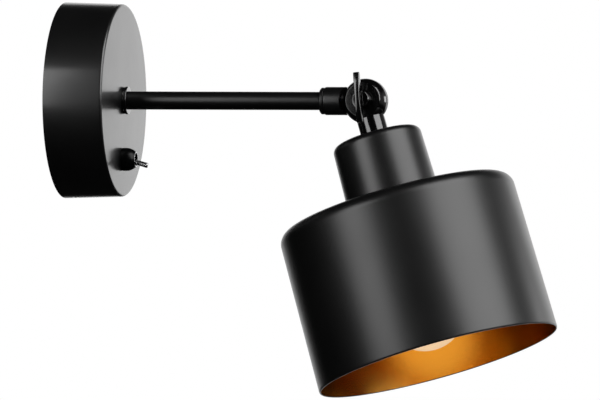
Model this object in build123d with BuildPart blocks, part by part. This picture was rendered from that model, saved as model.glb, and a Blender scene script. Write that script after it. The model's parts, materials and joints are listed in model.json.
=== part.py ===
"""Bedside wall reading lamp: a round canopy with a toggle switch, a straight arm, and a drum shade
on a knuckle that tilts and swivels.

Millimetres. The wall is the plane y = 0, the lamp reaches out along -Y, and +Z is up. The origin is
the centre of the canopy on the wall. Distances called "out" are measured from the wall along the
arm; distances called "down" are measured from the knuckle's centre along the head's own axis.
"""

from build123d import *
from math import cos, radians, sin, sqrt
import os

os.makedirs("parts", exist_ok=True)

# --- Clearances -----------------------------------------------------------------------------------
thread_play = 0.05  # radial, between a screw and its tapped hole, both smooth here
hole_play = 0.3  # radial, round what passes through a plain hole
turn_gap = 0.05  # between flat faces that turn on each other
rest_gap = 0.3  # between pieces that lie close but don't press

# --- Wall canopy ----------------------------------------------------------------------------------
canopy_radius = 54.0  # at the wall
canopy_draft = 1.0  # how much smaller the drum is at its face
canopy_depth = 33.0
canopy_wall = 1.0
canopy_edge_radius = 1.6
canopy_screw_out = 7.0
canopy_screw_radius = 2.0
canopy_screw_length = 5.0
canopy_screw_slot = 0.8
canopy_screw_slot_depth = 1.2

# --- Mounting strap, earth screw and terminal block -----------------------------------------------
strap_thick = 1.5
strap_width = 20.0
strap_bend = 1.2
tab_out = 12.0
slot_spacing = 56.0
slot_length = 12.0
slot_width = 5.0
cable_hole_radius = 5.0
cable_hole_up = 12.0
earth_screw_radius = 2.0
earth_head_radius = 3.6
earth_head_thick = 2.2
earth_washer_radius = 4.4
earth_washer_thick = 0.8
earth_screw_across = -5.0
earth_screw_inset = 7.0  # from the strap's lower end
block_width = 26.0
block_height = 17.0
block_thick = 12.0
block_corner = 1.0
block_drop = 10.0
pole_pitch = 8.0
clamp_radius = 2.5
clamp_bore = 1.5
clamp_inset = 1.0
clamp_screw_radius = 1.2
clamp_screw_spacing = 8.0

# --- Toggle switch --------------------------------------------------------------------------------
switch_inset = 21.4  # from the drum's edge at the wall up to the switch's centre
switch_width = 13.0
switch_height = 20.0
switch_length = 16.0
switch_wall = 2.0
bushing_radius = 5.0
bushing_bore = 3.0
throat_radius = 4.0  # the opening in the switch's body behind the bushing
bushing_proud = 5.0  # how far the bushing stands out of the canopy's face
lock_nut_across = 13.0
lock_nut_thick = 2.0
dome_radius = 6.35
dome_height = 7.7
dome_straight = 3.8
dome_mouth_radius = 3.6
dome_lip = 0.45
dome_edge = 0.3
lever_pivot_proud = 2.4
lever_radius = 1.1
lever_tip_round = 0.8
lever_length = 12.6
lever_tail = 8.0
lever_tail_radius = 0.9
lever_throw = 16.0  # degrees each side of straight out
tag_width = 4.8
tag_thick = 0.8
tag_length = 6.0
tag_spacing = 10.0

# --- Arm ------------------------------------------------------------------------------------------
tube_radius = 5.0
tube_wall = 1.0
root_washer_radius = 7.4
root_washer_thick = 0.9
root_ring_radius = 7.65
root_ring_thick = 1.6
root_ring_edge = 0.4
toothed_washer_radius = 8.6
toothed_washer_thick = 0.8
tooth_count = 10
tooth_depth = 1.6
tooth_gap = 1.6
root_nut_across = 14.0
root_nut_thick = 4.0
tube_tail = 4.0  # how far the tube stands past its inner nut

# --- Knuckle --------------------------------------------------------------------------------------
pivot_out = 169.2
knuckle_radius = 12.5
knuckle_flat = 8.1  # from the middle plane to each round flat
stub_radius = 7.75
stub_length = 22.8  # from the knuckle's centre to the stub's end
stub_edge = 0.6
knuckle_relief = 1.1  # the cut in each half that lets the other half turn
tube_seat = 9.2  # how deep the tube goes into the stub
cable_bore = 3.5
pocket_radius = 8.4  # the round pocket for the leads in each half, round the screw's boss
pocket_depth = 4.0
boss_radius = 3.8
friction_thick = 0.6
friction_radius = 11.6
lock_ring_radius = 7.35
lock_ring_thick = 2.3
lock_ring_edge = 0.7
pinch_screw_radius = 2.5
spring_washer_radius = 4.6
spring_washer_thick = 1.0
wing_hub_radius = 5.6
wing_hub_top_radius = 4.4
wing_hub_height = 5.0
wing_hub_edge = 0.5
wing_height = 13.0  # from the hub's base to the wing's outer edge
wing_span = 28.0
wing_thick = 2.4
wing_root = 3.5  # height at which the wing leaves the hub
wing_knee_height = 8.2
wing_knee_reach = 8.7
wing_tip_foot = 9.2
wing_tip_radius = 1.7
wing_lean = 6.0  # degrees, how the wing was left standing

# --- Head: neck, cup and lampholder ---------------------------------------------------------------
head_tilt = 17.4  # degrees from hanging straight down, outward
cup_down = 20.3
cup_height = 38.6
cup_top_radius = 24.7
cup_foot_radius = 25.7
cup_wall = 1.2
cup_corner = 4.4
nipple_radius = 5.0
nipple_bore = 4.0
nipple_seat = 7.0  # how deep the nipple goes up into the neck
nipple_length = 19.0
cup_nut_across = 14.0
cup_nut_thick = 3.0
holder_collar_radius = 8.0
holder_collar_length = 8.0
holder_cap_radius = 19.0
holder_cap_length = 27.5
holder_cap_wall = 2.0
holder_shoulder = 5.5
holder_radius = 19.4
holder_wall = 2.4
holder_length = 44.5
holder_flange_radius = 22.4
holder_flange_thick = 2.0
holder_lip = 1.6
core_radius = 15.6
core_thick = 12.0
core_step = 1.0
shell_wall = 0.5
shell_length = 26.0
contact_width = 5.0
contact_length = 14.0
contact_thick = 0.5
contact_rise = 3.15  # how far the contact stands off the core
holder_screw_radius = 1.5
holder_screw_head_radius = 2.8
holder_screw_head_thick = 1.8
holder_screw_across = 9.0
ring_radius = 26.0
ring_thick = 5.0
ring_web = 2.0
ring_grips = 24
ring_grip_radius = 1.2

# --- Shade and bulb -------------------------------------------------------------------------------
shade_height = 90.3
shade_top_radius = 66.1
shade_rim_radius = 67.5
shade_wall = 0.8
shade_corner = 7.6
bulb_radius = 22.5
bulb_length = 75.0
bulb_glass_wall = 0.8
bulb_neck_radius = 12.6
bulb_neck_seat = 11.0  # how far the glass goes into the cap
bulb_cap_radius = 13.1
bulb_cap_length = 22.0
bulb_cap_wall = 0.4
bulb_insulator_length = 3.2
bulb_insulator_radius = 5.6  # round the end contact
bulb_tip_radius = 4.6
bulb_tip_height = 1.4

# --- Leads ----------------------------------------------------------------------------------------
lead_radius = 1.1
lead_spacing = 2.7
lead_side = 1.7  # how far the pair lies to one side of the arm's axis and the head's
lead_bend = 4.0
tail_bend = 2.5

# --- Places worked out from the sizes above -------------------------------------------------------
face_inner = canopy_depth - canopy_wall
switch_drop = canopy_radius - switch_inset
canopy_inner_at_tab = canopy_radius - canopy_draft * tab_out / canopy_depth - canopy_wall
tab_reach = sqrt(canopy_inner_at_tab**2 - (strap_width / 2) ** 2) - rest_gap
earth_screw_drop = tab_reach - earth_screw_inset
tube_inner_end = face_inner - toothed_washer_thick - root_nut_thick - tube_tail
tube_outer_end = pivot_out - stub_length + tube_seat
lock_ring_out = pivot_out - stub_length - turn_gap - lock_ring_thick
relief_radius = knuckle_radius + knuckle_relief
pocket_middle = (pocket_radius + boss_radius) / 2
arm_half_face = friction_thick / 2
head_half_face = -(friction_thick / 2 + turn_gap)
hub_base = -(knuckle_flat + spring_washer_thick + 2 * turn_gap)
switch_front = face_inner - lock_nut_thick
switch_back = switch_front - switch_length
lever_pivot_out = canopy_depth + lever_pivot_proud
shade_down = cup_down + cup_height
rim_down = shade_down + shade_height
nipple_down = cup_down - nipple_seat
cup_nut_down = cup_down + cup_wall
holder_down = cup_nut_down + cup_nut_thick
holder_body_down = holder_down + holder_cap_length
core_down = holder_body_down + core_step
core_foot = core_down + core_thick
bulb_tip_down = core_foot + contact_thick + contact_rise + turn_gap
bulb_centre = bulb_tip_down + bulb_length - bulb_radius
bulb_cap_down = bulb_tip_down + bulb_tip_height + bulb_insulator_length
bulb_neck_down = bulb_cap_down + bulb_cap_length
shell_radius = bulb_cap_radius + rest_gap + shell_wall

pivot = Vector(0, -pivot_out, 0)
tilt = radians(head_tilt)
head_down = Vector(0, -sin(tilt), -cos(tilt))
head_axis = Axis(origin=pivot, direction=head_down)
arm_axis = Axis(origin=(0, 0, 0), direction=(0, -1, 0))

# Sections through the axes: local x runs along the axis, local y away from it.
arm_section = Plane(origin=(0, 0, 0), x_dir=(0, -1, 0), z_dir=(-1, 0, 0))
head_section = Plane(origin=pivot, x_dir=head_down, z_dir=(-1, 0, 0))


def out_from_wall(distance):
    """A plane parallel to the wall that faces the room; local x is X and local y is Z."""
    return Plane(origin=(0, -distance, 0), x_dir=(1, 0, 0), z_dir=(0, -1, 0))


def down_the_head(distance):
    """A plane square to the head's axis that faces down it; local x is X."""
    return Plane(origin=pivot + head_down * distance, x_dir=(1, 0, 0), z_dir=head_down)


def beside_pivot(x):
    """A plane parallel to the knuckle's middle plane, facing +X; local x is +Y and local y is Z."""
    return Plane(origin=(x, -pivot_out, 0), x_dir=(0, 1, 0), z_dir=(1, 0, 0))


def along_head(down, across=0.0, outward=0.0):
    """A point given in the head's own directions."""
    return pivot + head_down * down + Vector(across, -cos(tilt) * outward, sin(tilt) * outward)


def ring(plane, outer_radius, inner_radius, thick):
    """A flat ring that stands on a plane."""
    with BuildPart() as piece:
        with BuildSketch(plane):
            Circle(outer_radius)
            Circle(inner_radius, mode=Mode.SUBTRACT)
        extrude(amount=thick)
    return piece.part


def hex_nut(plane, across_flats, bore_radius, thick):
    """A hexagonal nut that stands on a plane."""
    with BuildPart() as piece:
        with BuildSketch(plane):
            RegularPolygon(radius=across_flats / 2, side_count=6, major_radius=False)
            Circle(bore_radius, mode=Mode.SUBTRACT)
        extrude(amount=thick)
    return piece.part


def lead(points, bend):
    """An insulated lead along straight runs joined by arcs."""
    with BuildPart() as piece:
        with BuildLine() as route:
            FilletPolyline(*points, radius=bend)
        with BuildSketch(Plane(origin=route.line @ 0, z_dir=route.line % 0)):
            Circle(lead_radius)
        sweep(path=route.line)
    return piece.part


# --- Canopy: a drawn steel drum with holes for the arm, the switch and its two screws --------------
canopy_face_radius = canopy_radius - canopy_draft
with BuildPart() as canopy:
    with BuildSketch(arm_section) as canopy_profile:
        with BuildLine():
            Polyline(
                (0, canopy_radius - canopy_wall),
                (0, canopy_radius),
                (canopy_depth, canopy_face_radius),
                (canopy_depth, 0),
                (face_inner, 0),
                (face_inner, canopy_face_radius - canopy_wall),
                close=True,
            )
        make_face()
        outer_corner = canopy_profile.vertices().group_by(Axis.X)[-1].sort_by(Axis.Y)[-1]
        fillet(outer_corner, radius=canopy_edge_radius)
        inner_corner = canopy_profile.vertices().sort_by_distance(
            (face_inner, canopy_face_radius - canopy_wall)
        )[0]
        fillet(inner_corner, radius=canopy_edge_radius - canopy_wall / 2)
    revolve(axis=arm_axis)
    with BuildSketch(out_from_wall(face_inner)):
        Circle(tube_radius + hole_play)
        with Locations((0, -switch_drop)):
            Circle(bushing_radius + hole_play)
    extrude(amount=canopy_wall, mode=Mode.SUBTRACT)
    with BuildSketch(Plane.XY):
        with Locations((0, -canopy_screw_out)):
            Circle(canopy_screw_radius + hole_play)
    extrude(amount=canopy_radius, both=True, mode=Mode.SUBTRACT)
canopy.part.label = "canopy"
export_step(canopy.part, "parts/canopy.step")

# --- Mounting strap: bent steel strip on the wall; its tabs are tapped for the canopy's screws -----
with BuildPart() as mounting_strap:
    with BuildSketch(arm_section) as strap_profile:
        with BuildLine():
            Polyline(
                (0, -tab_reach),
                (0, tab_reach),
                (tab_out, tab_reach),
                (tab_out, tab_reach - strap_thick),
                (strap_thick, tab_reach - strap_thick),
                (strap_thick, strap_thick - tab_reach),
                (tab_out, strap_thick - tab_reach),
                (tab_out, -tab_reach),
                close=True,
            )
        make_face()
        inner_bends = strap_profile.vertices().group_by(Axis.X)[1]
        fillet(inner_bends, radius=strap_bend)
        outer_bends = strap_profile.vertices().group_by(Axis.X)[0]
        fillet(outer_bends, radius=strap_bend + strap_thick)
    extrude(amount=strap_width / 2, both=True)
    with BuildSketch(out_from_wall(0)):
        with Locations((0, slot_spacing / 2), (0, -slot_spacing / 2)):
            SlotOverall(slot_length, slot_width, rotation=90)
        with Locations((0, cable_hole_up)):
            Circle(cable_hole_radius)
        with Locations((earth_screw_across, -earth_screw_drop)):
            Circle(earth_screw_radius + thread_play)
    extrude(amount=strap_thick, mode=Mode.SUBTRACT)
    with BuildSketch(Plane.XY):
        with Locations((0, -canopy_screw_out)):
            Circle(canopy_screw_radius + thread_play)
    extrude(amount=canopy_radius, both=True, mode=Mode.SUBTRACT)
mounting_strap.part.label = "mounting_strap"
export_step(mounting_strap.part, "parts/mounting_strap.step")

# --- Canopy screws: slotted grub screws, flush with the drum, in the strap's tabs ------------------
canopy_radius_at_screw = canopy_radius - canopy_draft * canopy_screw_out / canopy_depth
with BuildPart() as canopy_screws:
    for side in (1, -1):
        screw_end = Plane(
            origin=(0, -canopy_screw_out, side * canopy_radius_at_screw),
            x_dir=(1, 0, 0),
            z_dir=(0, 0, -side),
        )
        with BuildSketch(screw_end):
            Circle(canopy_screw_radius)
        extrude(amount=canopy_screw_length)
        with BuildSketch(screw_end):
            Rectangle(2 * canopy_screw_radius, canopy_screw_slot)
        extrude(amount=canopy_screw_slot_depth, mode=Mode.SUBTRACT)
canopy_screws.part.label = "canopy_screws"
export_step(canopy_screws.part, "parts/canopy_screws.step")

# --- Earth screw and its washer on the strap -------------------------------------------------------
earth_washer_out = strap_thick
earth_head_out = earth_washer_out + earth_washer_thick + 2 * lead_radius
with BuildPart() as earth_washer:
    with BuildSketch(out_from_wall(earth_washer_out)):
        with Locations((earth_screw_across, -earth_screw_drop)):
            Circle(earth_washer_radius)
            Circle(earth_screw_radius + thread_play, mode=Mode.SUBTRACT)
    extrude(amount=earth_washer_thick)
earth_washer.part.label = "earth_washer"
export_step(earth_washer.part, "parts/earth_washer.step")

with BuildPart() as earth_screw:
    with BuildSketch(out_from_wall(0)):
        with Locations((earth_screw_across, -earth_screw_drop)):
            Circle(earth_screw_radius)
    extrude(amount=earth_head_out)
    with BuildSketch(out_from_wall(earth_head_out)):
        with Locations((earth_screw_across, -earth_screw_drop)):
            Circle(earth_head_radius)
    extrude(amount=earth_head_thick)
earth_screw.part.label = "earth_screw"
export_step(earth_screw.part, "parts/earth_screw.step")

# --- Terminal block: three poles, each a brass clamp with two screws -------------------------------
block_middle = strap_thick + block_thick / 2
poles = [(-pole_pitch, -block_drop), (0, -block_drop), (pole_pitch, -block_drop)]
screw_places = [(x, z + side * clamp_screw_spacing / 2) for x, z in poles for side in (1, -1)]
pole_foot = Plane(origin=(0, -block_middle, -block_drop - block_height / 2))
with BuildPart() as terminal_block:
    with BuildSketch(out_from_wall(strap_thick)):
        with Locations((0, -block_drop)):
            RectangleRounded(block_width, block_height, block_corner)
    extrude(amount=block_thick)
    with BuildSketch(pole_foot):
        with Locations((-pole_pitch, 0), (0, 0), (pole_pitch, 0)):
            Circle(clamp_radius + thread_play)
    extrude(amount=block_height, mode=Mode.SUBTRACT)
    with BuildSketch(out_from_wall(block_middle)):
        with Locations(screw_places):
            Circle(clamp_screw_radius + hole_play)
    extrude(amount=block_thick, mode=Mode.SUBTRACT)
terminal_block.part.label = "terminal_block"
export_step(terminal_block.part, "parts/terminal_block.step")

with BuildPart() as terminal_clamps:
    with BuildSketch(pole_foot.offset(clamp_inset)):
        with Locations((-pole_pitch, 0), (0, 0), (pole_pitch, 0)):
            Circle(clamp_radius)
            Circle(clamp_bore, mode=Mode.SUBTRACT)
    extrude(amount=block_height - 2 * clamp_inset)
    with BuildSketch(out_from_wall(block_middle)):
        with Locations(screw_places):
            Circle(clamp_screw_radius + thread_play)
    extrude(amount=block_thick, mode=Mode.SUBTRACT)
terminal_clamps.part.label = "terminal_clamps"
export_step(terminal_clamps.part, "parts/terminal_clamps.step")

clamp_screw_tip = block_middle + lead_radius
clamp_screw_end = strap_thick + block_thick - clamp_inset
with BuildPart() as terminal_screws:
    with BuildSketch(out_from_wall(clamp_screw_tip)):
        with Locations(screw_places):
            Circle(clamp_screw_radius)
    extrude(amount=clamp_screw_end - clamp_screw_tip)
terminal_screws.part.label = "terminal_screws"
export_step(terminal_screws.part, "parts/terminal_screws.step")

# --- Toggle switch: moulded body, threaded bushing, nuts each side of the canopy's face, lever -----
cavity_width = switch_width - 2 * switch_wall
cavity_height = switch_height - 2 * switch_wall
with BuildPart() as switch_body:
    with BuildSketch(out_from_wall(switch_back)):
        with Locations((0, -switch_drop)):
            RectangleRounded(switch_width, switch_height, switch_wall / 2)
    extrude(amount=switch_length)
    with BuildSketch(out_from_wall(switch_back + 2 * switch_wall)):
        with Locations((0, -switch_drop)):
            Rectangle(cavity_width, cavity_height)
    extrude(amount=switch_length - 3 * switch_wall, mode=Mode.SUBTRACT)
    with BuildSketch(out_from_wall(switch_front - switch_wall)):
        with Locations((0, -switch_drop)):
            Circle(throat_radius)
    extrude(amount=switch_wall, mode=Mode.SUBTRACT)
switch_body.part.label = "switch_body"
export_step(switch_body.part, "parts/switch_body.step")

with BuildPart() as switch_bushing:
    with BuildSketch(out_from_wall(switch_front)):
        with Locations((0, -switch_drop)):
            Circle(bushing_radius)
            Circle(bushing_bore, mode=Mode.SUBTRACT)
    extrude(amount=canopy_depth + bushing_proud - switch_front)
switch_bushing.part.label = "switch_bushing"
export_step(switch_bushing.part, "parts/switch_bushing.step")

switch_axis_front = Plane(
    origin=(0, -switch_front, -switch_drop), x_dir=(1, 0, 0), z_dir=(0, -1, 0)
)
switch_lock_nut = hex_nut(
    switch_axis_front, lock_nut_across, bushing_radius + thread_play, lock_nut_thick
)
switch_lock_nut.label = "switch_lock_nut"
export_step(switch_lock_nut, "parts/switch_lock_nut.step")

dome_section = Plane(
    origin=(0, -canopy_depth, -switch_drop), x_dir=(0, -1, 0), z_dir=(-1, 0, 0)
)
dome_axis = Axis(origin=(0, 0, -switch_drop), direction=(0, -1, 0))
dome_thread_length = bushing_proud + rest_gap
with BuildPart() as switch_dome_nut:
    with BuildSketch(dome_section):
        with BuildLine():
            Polyline(
                (dome_height, dome_mouth_radius),
                (dome_thread_length, dome_mouth_radius),
                (dome_thread_length, bushing_radius + thread_play),
                (0, bushing_radius + thread_play),
                (0, dome_radius - dome_edge),
                (dome_edge, dome_radius),
                (dome_straight, dome_radius),
            )
            shoulder = TangentArc(
                (dome_straight, dome_radius),
                (dome_height, dome_mouth_radius + dome_lip),
                tangent=(1, 0),
            )
            Line(shoulder @ 1, (dome_height, dome_mouth_radius))
        make_face()
    revolve(axis=dome_axis)
switch_dome_nut.part.label = "switch_dome_nut"
export_step(switch_dome_nut.part, "parts/switch_dome_nut.step")

lever_angle = radians(lever_throw)
lever_pivot = Vector(0, -lever_pivot_out, -switch_drop)
lever_dir = Vector(0, -cos(lever_angle), -sin(lever_angle))
with BuildPart() as switch_lever:
    with BuildSketch(Plane(origin=lever_pivot, x_dir=(1, 0, 0), z_dir=lever_dir)):
        Circle(lever_radius)
    extrude(amount=lever_length)
    fillet(
        switch_lever.edges().filter_by(GeomType.CIRCLE).sort_by(Axis.Y)[0],
        radius=min(lever_tip_round, lever_radius - turn_gap),
    )
    with BuildSketch(Plane(origin=lever_pivot, x_dir=(1, 0, 0), z_dir=-lever_dir)):
        Circle(lever_tail_radius)
    extrude(amount=lever_tail)
    with Locations(lever_pivot):
        Sphere(bushing_bore - turn_gap)
switch_lever.part.label = "switch_lever"
export_step(switch_lever.part, "parts/switch_lever.step")

with BuildPart() as switch_tags:
    with BuildSketch(out_from_wall(switch_back - tag_length)):
        with Locations((0, tag_spacing / 2 - switch_drop), (0, -tag_spacing / 2 - switch_drop)):
            Rectangle(tag_width, tag_thick)
    extrude(amount=tag_length)
switch_tags.part.label = "switch_tags"
export_step(switch_tags.part, "parts/switch_tags.step")

# --- Arm tube and what clamps it in the canopy's face ----------------------------------------------
arm_tube = ring(
    out_from_wall(tube_inner_end), tube_radius, tube_radius - tube_wall,
    tube_outer_end - tube_inner_end,
)
arm_tube.label = "arm_tube"
export_step(arm_tube, "parts/arm_tube.step")

root_washer = ring(
    out_from_wall(canopy_depth), root_washer_radius, tube_radius + thread_play, root_washer_thick
)
root_washer.label = "root_washer"
export_step(root_washer, "parts/root_washer.step")

root_ring_out = canopy_depth + root_washer_thick
with BuildPart() as root_ring:
    add(ring(out_from_wall(root_ring_out), root_ring_radius, tube_radius + thread_play, root_ring_thick))
    fillet(root_ring.edges().filter_by(GeomType.CIRCLE).sort_by(SortBy.LENGTH)[-2:], radius=root_ring_edge)
root_ring.part.label = "root_ring"
export_step(root_ring.part, "parts/root_ring.step")

toothed_washer_out = face_inner - toothed_washer_thick
with BuildPart() as toothed_washer:
    add(
        ring(
            out_from_wall(toothed_washer_out), toothed_washer_radius,
            tube_radius + thread_play, toothed_washer_thick,
        )
    )
    with BuildSketch(out_from_wall(toothed_washer_out)):
        with PolarLocations(toothed_washer_radius, tooth_count):
            Rectangle(2 * tooth_depth, tooth_gap)
    extrude(amount=toothed_washer_thick, mode=Mode.SUBTRACT)
toothed_washer.part.label = "toothed_washer"
export_step(toothed_washer.part, "parts/toothed_washer.step")

root_nut = hex_nut(
    out_from_wall(toothed_washer_out - root_nut_thick), root_nut_across,
    tube_radius + thread_play, root_nut_thick,
)
root_nut.label = "root_nut"
export_step(root_nut, "parts/root_nut.step")

with BuildPart() as lock_ring:
    add(ring(out_from_wall(lock_ring_out), lock_ring_radius, tube_radius + thread_play, lock_ring_thick))
    chamfer(lock_ring.edges().filter_by(GeomType.CIRCLE).sort_by(Axis.Y)[-1], length=lock_ring_edge)
lock_ring.part.label = "lock_ring"
export_step(lock_ring.part, "parts/lock_ring.step")

# --- Knuckle, arm half: the far half of the ball with the stub that screws onto the arm ------------
with BuildPart() as knuckle_arm_half:
    with BuildSketch(out_from_wall(pivot_out - stub_length)):
        Circle(stub_radius)
    extrude(amount=stub_length)
    chamfer(
        knuckle_arm_half.edges().filter_by(GeomType.CIRCLE).sort_by(Axis.Y)[-1], length=stub_edge
    )
    with Locations(pivot):
        Sphere(knuckle_radius)
    with BuildSketch(beside_pivot(arm_half_face)):
        Circle(relief_radius)
    extrude(amount=-relief_radius, mode=Mode.SUBTRACT)
    with BuildSketch(beside_pivot(knuckle_flat)):
        Circle(relief_radius)
    extrude(amount=relief_radius, mode=Mode.SUBTRACT)
    with BuildSketch(beside_pivot(arm_half_face)):
        Circle(pocket_radius)
        Circle(boss_radius, mode=Mode.SUBTRACT)
    extrude(amount=pocket_depth, mode=Mode.SUBTRACT)
    with BuildSketch(out_from_wall(pivot_out - stub_length)):
        Circle(cable_bore)
    extrude(amount=stub_length - pocket_middle, mode=Mode.SUBTRACT)
    with BuildSketch(out_from_wall(pivot_out - stub_length)):
        Circle(tube_radius + thread_play)
    extrude(amount=tube_seat + rest_gap, mode=Mode.SUBTRACT)
    with BuildSketch(beside_pivot(0)):
        Circle(pinch_screw_radius + thread_play)
    extrude(amount=knuckle_radius, mode=Mode.SUBTRACT)
knuckle_arm_half.part.label = "knuckle_arm_half"
export_step(knuckle_arm_half.part, "parts/knuckle_arm_half.step")

# --- Friction washer between the halves ------------------------------------------------------------
friction_washer = ring(
    beside_pivot(-friction_thick / 2), friction_radius, pocket_radius, friction_thick
)
friction_washer.label = "friction_washer"
export_step(friction_washer, "parts/friction_washer.step")

# --- Wing screw with its spring washer, on the near side -------------------------------------------
spring_washer = ring(
    beside_pivot(hub_base + turn_gap), spring_washer_radius, pinch_screw_radius + hole_play,
    spring_washer_thick,
)
spring_washer.label = "spring_washer"
export_step(spring_washer, "parts/spring_washer.step")

lean = radians(wing_lean)
wing_up = Vector(0, sin(lean), cos(lean))
wing_plane = Plane(
    origin=(hub_base, -pivot_out, 0), x_dir=(-1, 0, 0), z_dir=Vector(-1, 0, 0).cross(wing_up)
)
half_span = wing_span / 2
with BuildPart() as wing_screw:
    with BuildSketch(wing_plane) as wing_outline:
        with BuildLine():
            Polyline(
                (wing_root, -wing_hub_top_radius),
                (wing_root, wing_hub_top_radius),
                (wing_knee_height, wing_knee_reach),
                (wing_tip_foot, half_span),
                (wing_height, half_span),
                (wing_height, -half_span),
                (wing_tip_foot, -half_span),
                (wing_knee_height, -wing_knee_reach),
                close=True,
            )
        make_face()
        tips = wing_outline.vertices().group_by(Axis.Y)
        tip_round = min(wing_tip_radius, (wing_height - wing_tip_foot) / 2 - turn_gap)
        fillet(tips[0] + tips[-1], radius=tip_round)
    extrude(amount=wing_thick / 2, both=True)
    with BuildSketch(beside_pivot(hub_base)):
        Circle(wing_hub_radius)
    with BuildSketch(beside_pivot(hub_base - wing_hub_height)):
        Circle(wing_hub_top_radius)
    loft()
    fillet(
        wing_screw.edges().filter_by(GeomType.CIRCLE).sort_by(SortBy.LENGTH)[-1],
        radius=wing_hub_edge,
    )
    with BuildSketch(beside_pivot(hub_base)):
        Circle(pinch_screw_radius)
    extrude(amount=knuckle_flat - hub_base - rest_gap)
wing_screw.part.label = "wing_screw"
export_step(wing_screw.part, "parts/wing_screw.step")

# --- Knuckle, head half: the near half of the ball with the neck -----------------------------------
with BuildPart() as knuckle_head_half:
    with BuildSketch(down_the_head(0)):
        Circle(stub_radius)
    extrude(amount=cup_down)
    with Locations(pivot):
        Sphere(knuckle_radius)
    with BuildSketch(beside_pivot(head_half_face)):
        Circle(relief_radius)
    extrude(amount=relief_radius, mode=Mode.SUBTRACT)
    with BuildSketch(beside_pivot(-knuckle_flat)):
        Circle(relief_radius)
    extrude(amount=-relief_radius, mode=Mode.SUBTRACT)
    with BuildSketch(beside_pivot(head_half_face)):
        Circle(pocket_radius)
        Circle(boss_radius, mode=Mode.SUBTRACT)
    extrude(amount=-pocket_depth, mode=Mode.SUBTRACT)
    with BuildSketch(down_the_head(pocket_middle)):
        Circle(cable_bore)
    extrude(amount=cup_down - pocket_middle, mode=Mode.SUBTRACT)
    with BuildSketch(down_the_head(nipple_down - rest_gap)):
        Circle(nipple_radius + thread_play)
    extrude(amount=nipple_seat + rest_gap, mode=Mode.SUBTRACT)
    with BuildSketch(beside_pivot(0)):
        Circle(pinch_screw_radius + turn_gap)
    extrude(amount=-knuckle_radius, mode=Mode.SUBTRACT)
knuckle_head_half.part.label = "knuckle_head_half"
export_step(knuckle_head_half.part, "parts/knuckle_head_half.step")

# --- Nipple, cup and cup nut -----------------------------------------------------------------------
nipple = ring(down_the_head(nipple_down), nipple_radius, nipple_bore, nipple_length)
nipple.label = "nipple"
export_step(nipple, "parts/nipple.step")

with BuildPart() as socket_cup:
    with BuildSketch(head_section) as cup_profile:
        with BuildLine():
            Polyline(
                (cup_down, nipple_radius + hole_play),
                (cup_down, cup_top_radius),
                (shade_down, cup_foot_radius),
                (shade_down, cup_foot_radius - cup_wall),
                (cup_down + cup_wall, cup_top_radius - cup_wall),
                (cup_down + cup_wall, nipple_radius + hole_play),
                close=True,
            )
        make_face()
        outer_corner = cup_profile.vertices().sort_by_distance((cup_down, cup_top_radius))[0]
        fillet(outer_corner, radius=cup_corner)
        inner_corner = cup_profile.vertices().sort_by_distance(
            (cup_down + cup_wall, cup_top_radius - cup_wall)
        )[0]
        fillet(inner_corner, radius=cup_corner - cup_wall)
    revolve(axis=head_axis)
socket_cup.part.label = "socket_cup"
export_step(socket_cup.part, "parts/socket_cup.step")

cup_nut = hex_nut(
    down_the_head(cup_nut_down), cup_nut_across, nipple_radius + thread_play, cup_nut_thick
)
cup_nut.label = "cup_nut"
export_step(cup_nut, "parts/cup_nut.step")

# --- Lampholder cap: moulded, with a collar that screws onto the nipple ----------------------------
cap_shoulder = holder_down + holder_collar_length
cap_skirt = cap_shoulder + holder_shoulder
with BuildPart() as lampholder_cap:
    with BuildSketch(head_section):
        with BuildLine():
            Polyline(
                (holder_down, nipple_radius + thread_play),
                (holder_down, holder_collar_radius),
                (cap_shoulder, holder_collar_radius),
                (cap_skirt, holder_cap_radius),
                (holder_body_down, holder_cap_radius),
                (holder_body_down, holder_cap_radius - holder_cap_wall),
                (cap_skirt + holder_cap_wall, holder_cap_radius - holder_cap_wall),
                (cap_shoulder + holder_cap_wall, nipple_radius + thread_play),
                close=True,
            )
        make_face()
    revolve(axis=head_axis)
lampholder_cap.part.label = "lampholder_cap"
export_step(lampholder_cap.part, "parts/lampholder_cap.step")

# --- Lampholder body: threaded sleeve with a flange that bears on the shade ------------------------
holder_mouth = holder_body_down + holder_length
flange_top = shade_down - holder_flange_thick
with BuildPart() as lampholder_body:
    with BuildSketch(head_section):
        with BuildLine():
            Polyline(
                (holder_body_down, holder_radius - holder_wall),
                (holder_body_down, holder_radius),
                (flange_top, holder_radius),
                (flange_top, holder_flange_radius),
                (shade_down, holder_flange_radius),
                (shade_down, holder_radius),
                (holder_mouth - holder_lip, holder_radius),
                (holder_mouth, holder_radius - holder_lip),
                (holder_mouth, shell_radius + rest_gap),
                (core_foot, shell_radius + rest_gap),
                (core_foot, core_radius + rest_gap),
                (core_down, core_radius + rest_gap),
                (core_down, holder_radius - holder_wall),
                close=True,
            )
        make_face()
    revolve(axis=head_axis)
lampholder_body.part.label = "lampholder_body"
export_step(lampholder_body.part, "parts/lampholder_body.step")

# --- Lampholder core: the insulator that carries the contacts --------------------------------------
with BuildPart() as lampholder_core:
    with BuildSketch(down_the_head(core_down)):
        Circle(core_radius)
        with Locations((holder_screw_across, 0), (-holder_screw_across, 0)):
            Circle(holder_screw_radius + thread_play, mode=Mode.SUBTRACT)
    extrude(amount=core_thick)
lampholder_core.part.label = "lampholder_core"
export_step(lampholder_core.part, "parts/lampholder_core.step")

lampholder_shell = ring(
    down_the_head(core_foot), shell_radius, shell_radius - shell_wall, shell_length
)
lampholder_shell.label = "lampholder_shell"
export_step(lampholder_shell, "parts/lampholder_shell.step")

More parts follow.
